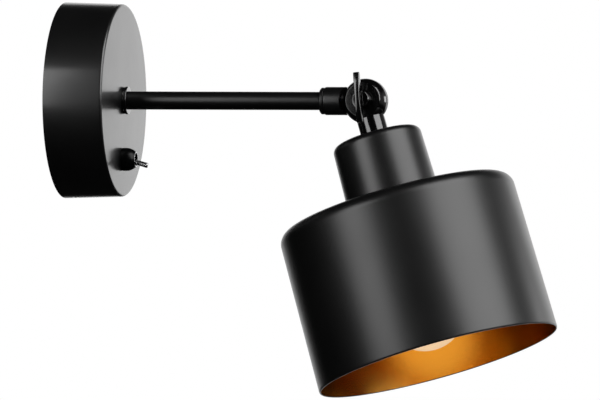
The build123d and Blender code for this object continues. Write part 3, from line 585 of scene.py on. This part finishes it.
dome_nut = turned(
    "dome_nut",
    rounded(
        [
            (dome_thread, dome_mouth, 0),
            (dome_thread, bushing_radius, 0),
            (0, bushing_radius, 0),
            (0, dome_radius, dome_foot_edge),
            (dome_straight, dome_radius, 0),
            *dome_shoulder,
            (dome_height, dome_mouth + dome_lip, dome_mouth_edge),
            (dome_height, dome_mouth, dome_mouth_edge),
        ]
    ),
    switch_foot, wall_way, dome_black, sides=128,
)


def at_mouth(face):
    """Whether a face is on the end of the dome's mouth."""
    return (face.center - switch_foot).dot(wall_way) > dome_height - dome_rubbed


stands_for(recoated(dome_nut, chrome, at_mouth), "switch_dome_nut")

lever_pivot_proud = 2.4 * mm
lever_pivot = Vector((0, -canopy_depth - lever_pivot_proud, switch_up))
lever_throw = radians(16)
lever_way = Vector((0, -cos(lever_throw), -sin(lever_throw)))
lever_ball = 2.95 * mm
lever_root = 1.3 * mm
lever_tip = 1.45 * mm
lever_length = 12.6 * mm
lever_tail = 8.0 * mm
lever_tail_radius = 0.9 * mm
lever_tail_edge = 0.3 * mm
lever_tip_round = 0.8 * mm
ball_points = 12
ball_tail = radians(160)  # where the ball starts, from the lever's tip
ball_root = radians(20)
ball_arc = []
for k in range(ball_points + 1):
    turn = ball_tail * (1 - k / ball_points) + ball_root * k / ball_points
    ball_arc.append((lever_ball * cos(turn), lever_ball * sin(turn), 0))
lever_chrome = surface_finish(
    "lever_chrome", [(0.90, 0.90, 0.91), (0.95, 0.95, 0.95)], (0.22, 0.28), 0.3 * mm, 3 * mm,
    0.002 * mm, edge=(0.08 * mm, (0.95, 0.95, 0.95), 0.15), Metallic=1.0,
)
lever = turned(
    "lever",
    rounded(
        [
            (-lever_tail, 0, 0),
            (-lever_tail, lever_tail_radius, lever_tail_edge),
            *ball_arc,
            (lever_ball, lever_root, 0),
            (lever_length, lever_tip, lever_tip_round),
            (lever_length, 0, 0),
        ]
    ),
    lever_pivot, lever_way, lever_chrome, sides=64,
)
stands_for(lever, "switch_lever")

# --- Arm tube and what clamps it -----------------------------------------------------------------
# A straight steel tube in satin black. Outside the face it has a thin washer and a turned ring,
# and inside a toothed washer and a hexagon nut draw it tight.
thread_play = 0.02 * mm
tube_wall = 1.0 * mm


def washer(name, outer_edge, inner_edge, surface, bore=tube_radius):
    """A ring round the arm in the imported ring's box, with its outer and inner edges rounded."""
    low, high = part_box(name)
    corners = [
        (-high.y, bore, inner_edge),
        (-high.y, high.z, outer_edge),
        (-low.y, high.z, outer_edge),
        (-low.y, bore, inner_edge),
    ]
    return stands_for(turned(name + "_ring", rounded(corners), wall_foot, wall_way, surface), name)


washer("arm_tube", 0.2 * mm, 0.2 * mm, satin_black, bore=tube_radius - tube_wall)
washer("root_washer", 0.2 * mm, 0.1 * mm, gloss_black)
washer("root_ring", 0.4 * mm, 0.2 * mm, gloss_black)
dress(zinc_steel, "toothed_washer", "root_nut")

# --- Leads ---------------------------------------------------------------------------------------
# Round plastic-covered wires: brown for the live side, blue for neutral and yellow-green for
# earth. They run from the block and the switch through the arm, and from the neck to the
# lampholder.
lead_sizes = ((0.35, 0.50), 0.3 * mm, 6 * mm, 0.008 * mm)
brown = [(0.10, 0.040, 0.018), (0.13, 0.055, 0.026)]
blue = [(0.02, 0.10, 0.32), (0.03, 0.13, 0.38)]
yellow_green = [(0.20, 0.38, 0.04), (0.50, 0.45, 0.03)]
brown_lead = surface_finish("brown_lead", brown, *lead_sizes)
blue_lead = surface_finish("blue_lead", blue, *lead_sizes)
earth_lead = surface_finish("earth_lead", yellow_green, *lead_sizes)
dress(brown_lead, "supply_lead", "switched_lead", "knuckle_leads", "head_leads")
dress(blue_lead, "neutral_lead")
dress(earth_lead, "earth_lead")

# --- Knuckle -------------------------------------------------------------------------------------
# Two cast half balls, lacquered gloss black, that turn on each other round one screw, with a round
# flat on each side. The far half's stub screws onto the arm behind a lock ring, both satin there,
# and the near half's neck carries the head. Both halves are bored for the leads.
pivot = Vector((0, -169.2 * mm, 0))
head_tilt = radians(17.4)
head_down = Vector((0, -sin(head_tilt), -cos(head_tilt)))
ball_radius = 12.5 * mm
ball_flat = 8.1 * mm
flat_edge = 0.35 * mm
split_edge = 0.25 * mm
arm_half_face = 0.3 * mm
head_half_face = 0.35 * mm
stub_radius = 7.75 * mm
stub_length = 22.8 * mm
stub_edge = 1.0 * mm
stub_satin_from = 9.0 * mm
neck_edge = 0.1 * mm
tube_seat = 9.5 * mm
neck_length = 20.3 * mm
nipple_hole_down = 13.0 * mm
nipple_radius = 5.0 * mm
relief_radius = 13.6 * mm
pocket_radius = 8.4 * mm
pocket_depth = 4.0 * mm
boss_radius = 3.8 * mm
cable_bore = 3.5 * mm
screw_hole_radius = 2.6 * mm
ball_rises = range(38, 3, -3)  # degrees, from just under the flat down to the split
pocket_middle = (pocket_radius + boss_radius) / 2


def half_ball(face, way):
    """Half of the knuckle's ball along way, from its flat inner face to its round flat."""
    flat_rim = sqrt(ball_radius**2 - ball_flat**2)
    face_rim = sqrt(ball_radius**2 - face**2)
    corners = [
        (face, boss_radius, 0),
        (face, screw_hole_radius, 0),
        (ball_flat, screw_hole_radius, 0),
        (ball_flat, flat_rim, flat_edge),
    ]
    for degree in ball_rises:
        rise = radians(degree)
        corners.append((ball_radius * sin(rise), ball_radius * cos(rise), 0))
    corners += [
        (face, face_rim, split_edge),
        (face, pocket_radius, 0),
        (face + pocket_depth, pocket_radius, 0),
        (face + pocket_depth, boss_radius, 0),
    ]
    return turned("half_ball", rounded(corners), pivot, way, gloss_black, sides=160)


def knuckle_half(name, face, way, branch, length, end_edge, hole_radius, hole_foot):
    """A half ball joined to a round branch, cleared for the other half and bored for the leads."""
    branch_line = [
        (0, 0, 0),
        (0, stub_radius, 0),
        (length, stub_radius, end_edge),
        (length, 0, 0),
    ]
    casting = turned(name, rounded(branch_line), pivot, branch, gloss_black, sides=160)
    machined(
        casting, "DIFFERENCE",
        rod(pivot, -way, -face, 2 * relief_radius, relief_radius, gloss_black, sides=160),
        rod(pivot, way, face - arm_half_face, face + pocket_depth, pocket_radius, gloss_black),
    )
    machined(casting, "UNION", half_ball(face, way))
    return machined(
        casting, "DIFFERENCE",
        rod(pivot, branch, pocket_middle, 2 * length, cable_bore, gloss_black),
        rod(pivot, branch, hole_foot, 2 * length, hole_radius, gloss_black),
    )


far_side = Vector((1, 0, 0))
near_side = Vector((-1, 0, 0))
arm_half = knuckle_half(
    "knuckle_far_half", arm_half_face, far_side, -wall_way, stub_length, stub_edge,
    tube_radius + thread_play, stub_length - tube_seat,
)


def on_stub(face):
    """Whether a face is on the stub, beyond the ball's lacquer."""
    return (pivot - face.center).dot(wall_way) > stub_satin_from


stands_for(recoated(arm_half, satin_black, on_stub), "knuckle_arm_half")
head_half = knuckle_half(
    "knuckle_near_half", head_half_face, near_side, head_down, neck_length, neck_edge,
    nipple_radius + thread_play, nipple_hole_down,
)
stands_for(head_half, "knuckle_head_half")

lock_low, lock_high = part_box("lock_ring")
lock_chamfer = 0.7 * mm
lock_chamfer_edge = 0.25 * mm
lock_back_edge = 0.2 * mm
lock_bore_edge = 0.1 * mm
lock_radius = lock_high.z
lock_ring = turned(
    "lock_ring_turned",
    rounded(
        [
            (-lock_high.y, tube_radius, lock_bore_edge),
            (-lock_high.y, lock_radius - lock_chamfer, lock_chamfer_edge),
            (-lock_high.y + lock_chamfer, lock_radius, lock_chamfer_edge),
            (-lock_low.y, lock_radius, lock_back_edge),
            (-lock_low.y, tube_radius, lock_bore_edge),
        ]
    ),
    wall_foot, wall_way, satin_black,
)
stands_for(lock_ring, "lock_ring")
fibre = surface_finish(
    "fibre", [(0.16, 0.06, 0.03), (0.24, 0.10, 0.05)], (0.6, 0.8), 0.15 * mm, 3 * mm, 0.02 * mm
)
dress(fibre, "friction_washer")
dress(zinc_steel, "spring_washer")

# --- Wing screw ----------------------------------------------------------------------------------
# A die-cast wing with a tapered hub on a steel shank, all lacquered black. The wing has a crowned
# outer edge, soft edges and thicker tips, and the hub and the shank are turned and joined to it.
hub_base = 9.2 * mm
hub_radius = 5.6 * mm
hub_top_radius = 4.4 * mm
hub_height = 5.0 * mm
hub_edge = 0.5 * mm
hub_foot_edge = 0.3 * mm
shank_radius = 2.5 * mm
shank_end = -7.8 * mm
shank_edge = 0.4 * mm
wing_thick = 2.4 * mm
wing_edge = 0.35 * mm
wing_lean = radians(6)
wing_root = (3.5 * mm, 4.4 * mm)  # height over the hub's base, and reach to each side
wing_knee = (7.2 * mm, 8.7 * mm)
wing_foot = (8.2 * mm, 14.0 * mm)
wing_top = (10.9 * mm, 14.0 * mm)
wing_knee_round = 2.0 * mm
wing_tip_round = 1.2 * mm
wing_crown = 45.0 * mm  # the outer edge's radius
wing_middle = 13.0 * mm
wing_crown_reaches = range(12, -13, -2)  # mm to each side, in the points of the outer edge
wing_swell = 0.4  # how much thicker the tips are
wing_rim_angle = radians(60)
wing_up = Vector((0, sin(wing_lean), cos(wing_lean)))
wing_flat = near_side.cross(wing_up)
wing_corners = [
    (*wing_root, 0),
    (*wing_knee, wing_knee_round),
    (*wing_foot, wing_tip_round),
    (*wing_top, wing_tip_round),
]
wing_other_side = [(height, -reach, radius) for height, reach, radius in reversed(wing_corners)]
for k in wing_crown_reaches:
    wing_corners.append((wing_middle - (k * mm) ** 2 / (2 * wing_crown), k * mm, 0))
wing_corners += wing_other_side
wing_mesh = bmesh.new()
wing_face = wing_mesh.faces.new(
    [
        wing_mesh.verts.new(
            pivot + near_side * (hub_base + height) + wing_up * reach - wing_flat * wing_thick / 2
        )
        for height, reach in rounded(wing_corners)
    ]
)
wing_block = bmesh.ops.extrude_face_region(wing_mesh, geom=[wing_face])
wing_moved = [part for part in wing_block["geom"] if isinstance(part, bmesh.types.BMVert)]
bmesh.ops.translate(wing_mesh, verts=wing_moved, vec=wing_flat * wing_thick)
bmesh.ops.recalc_face_normals(wing_mesh, faces=wing_mesh.faces)
wing_rims = [edge for edge in wing_mesh.edges if edge.calc_face_angle(0) > wing_rim_angle]
bmesh.ops.bevel(
    wing_mesh, geom=wing_rims, offset=wing_edge, offset_type="OFFSET", segments=4, profile=0.5,
    affect="EDGES",
)
for corner in wing_mesh.verts:
    place = corner.co - pivot
    share_out = abs(place.dot(wing_up)) / wing_top[1]
    corner.co += wing_flat * place.dot(wing_flat) * wing_swell * share_out
wing = shown("wing", wing_mesh, gloss_black)
hub = turned(
    "hub",
    rounded(
        [
            (shank_end, 0, 0),
            (shank_end, shank_radius, shank_edge),
            (hub_base, shank_radius, 0),
            (hub_base, hub_radius, hub_foot_edge),
            (hub_base + hub_height, hub_top_radius, hub_edge),
            (hub_base + hub_height, 0, 0),
        ]
    ),
    pivot, near_side, gloss_black, sides=96,
)
stands_for(machined(wing, "UNION", hub), "wing_screw")

# --- Cup and nipple ------------------------------------------------------------------------------
# A spun steel cup in satin black hides the lampholder. A threaded nipple runs down from the neck
# through the cup's top, and a hexagon nut under it clamps the cup.
cup_down = neck_length
shade_down = 58.9 * mm
cup_top_radius = 24.7 * mm
cup_foot_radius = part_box("socket_cup")[1].x
cup_wall = 1.2 * mm
cup_corner = 4.4 * mm
cup_lip = 0.35 * mm
cup = turned(
    "cup",
    rounded(
        [
            (cup_down, nipple_radius + hole_play, 0),
            (cup_down, cup_top_radius, cup_corner),
            (shade_down, cup_foot_radius, cup_lip),
            (shade_down, cup_foot_radius - cup_wall, cup_lip),
            (cup_down + cup_wall, cup_top_radius - cup_wall, cup_corner - cup_wall),
            (cup_down + cup_wall, nipple_radius + hole_play, 0),
        ]
    ),
    pivot, head_down, satin_black, sides=256,
)
stands_for(cup, "socket_cup")
dress(zinc_steel, "nipple", "cup_nut")

# --- Lampholder ----------------------------------------------------------------------------------
# A moulded cap and body, black and slightly glossy, hold a porcelain core with a rolled brass
# screw shell, a sprung centre contact and two contact screws.
porcelain = surface_finish(
    "porcelain", [(0.72, 0.70, 0.65), (0.78, 0.76, 0.72)], (0.15, 0.28), 0.5 * mm, 6 * mm,
    0.01 * mm, edge=(0.3 * mm, (0.80, 0.79, 0.76), 0.15), Coat_Weight=0.6, Coat_Roughness=0.1,
)
dress(black_plastic, "lampholder_cap", "lampholder_body")
dress(porcelain, "lampholder_core")
dress(brass, "lampholder_shell", "centre_contact", "lampholder_screws")

# --- Shade and its ring --------------------------------------------------------------------------
# A drum spun from 0.8 mm steel, satin black outside and painted gold inside. Its rim turns in a
# little and the black laps over it, and its end carries a pale painted highlight. A grooved
# plastic ring under the top plate clamps the shade against the lampholder's flange.
rim_down = 149.2 * mm
shade_top_radius = 66.1 * mm
shade_rim_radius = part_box("shade")[1].x
shade_wall = 0.8 * mm
shade_corner = 7.6 * mm
shade_hole = 20.0 * mm
shade_lip = 0.35 * mm
shade_inner_lip = 0.1 * mm
curl_height = 0.9 * mm
curl_reach = 0.3 * mm
curl_round = 1.0 * mm
rim_lap = 0.45 * mm  # how far up inside the rim the black goes
rim_end_slope = 0.9  # the rim's end faces, which carry the pale painted highlight, are square to the head's axis to within this cosine
satin_shade = surface_finish(
    "satin_shade", paint_black, (0.34, 0.39), 0.45 * mm, 40 * mm, 0.006 * mm,
    Coat_Weight=0.8, Coat_Roughness=0.35,
)
gold_paint = surface_finish(
    "gold_paint", [(0.90, 0.50, 0.075), (0.95, 0.55, 0.090)], (0.18, 0.22), 0.25 * mm, 25 * mm,
    0.012 * mm, Metallic=1.0,
)
# Pale paint on the rim's end: a painted highlight where the rim catches the light.
rim_painted_highlight = surface_finish(
    "rim_painted_highlight", [(0.55, 0.54, 0.56), (0.75, 0.74, 0.76)], (0.4, 0.6), 0.25 * mm, 6 * mm,
    0.004 * mm,
)
lap_share = rim_lap / (rim_down - shade_down - shade_wall)
lap_radius = shade_rim_radius - shade_wall - (shade_rim_radius - shade_top_radius) * lap_share
shade = turned(
    "shade_drum",
    rounded(
        [
            (shade_down, shade_hole, 0),
            (shade_down, shade_top_radius, shade_corner),
            (rim_down - curl_height, shade_rim_radius, curl_round),
            (rim_down, shade_rim_radius - curl_reach, shade_lip),
            (rim_down, shade_rim_radius - shade_wall, shade_inner_lip),
            (rim_down - rim_lap, lap_radius, 0),
            (shade_down + shade_wall, shade_top_radius - shade_wall, shade_corner - shade_wall),
            (shade_down + shade_wall, shade_hole, 0),
        ]
    ),
    pivot, head_down, satin_shade, sides=384,
)
shade_middle = pivot + head_down * (shade_down + rim_down) / 2


def lined(face):
    """Whether a face is inside the shade, above the black's lap."""
    above_lap = (face.center - pivot).dot(head_down) < rim_down - rim_lap
    return above_lap and face.normal.dot(shade_middle - face.center) > 0


# The rim's end faces get the pale painted highlight.
def on_rim_end(face):
    """Whether a face is on the rim's end."""
    return not lined(face) and face.normal.dot(head_down) > rim_end_slope


stands_for(recoated(recoated(shade, gold_paint, lined), rim_painted_highlight, on_rim_end), "shade")
dress(black_plastic, "shade_ring")

# --- Bulb ----------------------------------------------------------------------------------------
# A blown globe of frosted glass on a pressed and nickel-plated screw cap. Though the bulb is unlit,
# the glass is tinted warm and given a faint warm glow: painted light that stands in for the warm
# light on the bulb and also lights the gold lining.
# The cap has a black glass insulator and a soldered end contact.
bulb_radius = 22.5 * mm
bulb_centre = 120.3 * mm
bulb_neck_radius = 12.6 * mm
bulb_neck_end = 84.3 * mm
bulb_wall = 0.8 * mm
bulb_points = 40
# Warm tint and faint emission on an unlit bulb: a painted glow.
frosted_glass = surface_finish(
    "frosted_glass", [(0.74, 0.67, 0.59), (0.79, 0.72, 0.64)], (0.40, 0.50), 0.12 * mm, 15 * mm,
    0.004 * mm, Transmission_Weight=0.3, Coat_Weight=0.3, Coat_Roughness=0.25,
    Emission_Color=(1.0, 0.69, 0.38, 1), Emission_Strength=0.45,
)


def bulb_line(wall):
    """The globe's section from its foot round to its neck's end, a wall inside the outer face."""
    radius, neck = bulb_radius - wall, bulb_neck_radius - wall
    last = pi - asin(neck / radius)
    line = []
    for k in range(bulb_points + 1):
        turn = last * k / bulb_points
        line.append((bulb_centre + radius * cos(turn), radius * sin(turn)))
    return line + [(bulb_neck_end, neck)]


bulb_metal = surface_finish(
    "bulb_metal", [(0.66, 0.65, 0.62), (0.74, 0.73, 0.70)], (0.22, 0.34), 0.25 * mm, 5 * mm,
    0.008 * mm, edge=(0.12 * mm, (0.80, 0.79, 0.76), 0.2), Metallic=1.0,
)
bulb_outline = bulb_line(0.0) + bulb_line(bulb_wall)[::-1]
bulb = turned("bulb_globe", bulb_outline, pivot, head_down, frosted_glass, sides=128)
stands_for(bulb, "bulb_glass")
dress(bulb_metal, "bulb_cap", "bulb_tip")
dress(black_plastic, "bulb_insulator")
